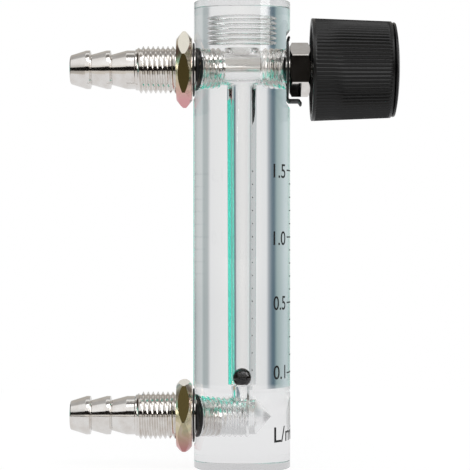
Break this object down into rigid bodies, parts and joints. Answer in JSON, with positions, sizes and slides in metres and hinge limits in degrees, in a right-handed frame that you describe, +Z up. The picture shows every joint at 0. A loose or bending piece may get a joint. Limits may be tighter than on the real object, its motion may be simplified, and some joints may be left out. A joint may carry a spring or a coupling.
{
  "type": "medical flowmeter",
  "caption": "Clear round acrylic gas flowmeter with a ball float, rear hose barbs on panel threads and a ribbed needle-valve knob.",
  "frame": {"origin": "centre of the flat lower end of the clear body", "axes": "+Z up along the clear body, +X out of the valve knob, hose barbs along -X"},
  "size_m": [0.0834, 0.0262, 0.118],
  "materials": {
    "acrylic": "clear, machined and flame polished",
    "ball": "gloss",
    "strip": "satin paint",
    "nickel": "bright nickel plate on turned brass",
    "zinc": "yellow passivated zinc plate on steel",
    "rubber": "satin",
    "black_steel": "blackened sheet",
    "knob_plastic": "satin moulded"
  },
  "bodies": {
    "root": {"body": "acrylic", "top_plug": "acrylic", "sight_strip": "strip", "outlet_fitting": "nickel", "outlet_seal": "rubber", "inlet_fitting": "nickel", "inlet_seal": "rubber", "valve_bonnet": "nickel", "valve_seal": "rubber", "valve_tab_washer": "black_steel"},
    "float": {"float_ball": "ball"},
    "spindle": {"needle_spindle": "nickel", "spindle_seal": "rubber"},
    "knob": {"knob": "knob_plastic", "knob_screw": "nickel", "knob_cap": "knob_plastic"},
    "outlet_washer": {"outlet_washer": "rubber"},
    "outlet_nut": {"outlet_nut": "zinc"},
    "inlet_washer": {"inlet_washer": "rubber"},
    "inlet_nut": {"inlet_nut": "zinc"}
  },
  "joints": [
    {"name": "float_rise", "type": "slide", "parent": "root", "child": "float", "axis": [0, 0, 1], "range_m": [0, 0.074]},
    {"name": "spindle_travel", "type": "slide", "parent": "root", "child": "spindle", "axis": [1, 0, 0], "range_m": [0, 0.00302]},
    {"name": "knob_turn", "type": "hinge", "parent": "spindle", "child": "knob", "pos_m": [0.0276, 0, 0.101], "axis": [1, 0, 0], "range_deg": [0, 1440]},
    {"name": "outlet_washer_slide", "type": "slide", "parent": "root", "child": "outlet_washer", "axis": [-1, 0, 0], "range_m": [0, 0.00752]},
    {"name": "outlet_nut_turn", "type": "hinge", "parent": "outlet_washer", "child": "outlet_nut", "pos_m": [-0.0147, 0, 0.101], "axis": [-1, 0, 0], "range_deg": [0, 2160]},
    {"name": "inlet_washer_slide", "type": "slide", "parent": "root", "child": "inlet_washer", "axis": [-1, 0, 0], "range_m": [0, 0.00752]},
    {"name": "inlet_nut_turn", "type": "hinge", "parent": "inlet_washer", "child": "inlet_nut", "pos_m": [-0.0147, 0, 0.013], "axis": [-1, 0, 0], "range_deg": [0, 2160]}
  ],
  "couplings": [
    {"joint": "spindle_travel", "follows": "knob_turn", "m_per_rad": 0.00011937},
    {"joint": "outlet_washer_slide", "follows": "outlet_nut_turn", "m_per_rad": 0.00019894},
    {"joint": "inlet_washer_slide", "follows": "inlet_nut_turn", "m_per_rad": 0.00019894}
  ]
}
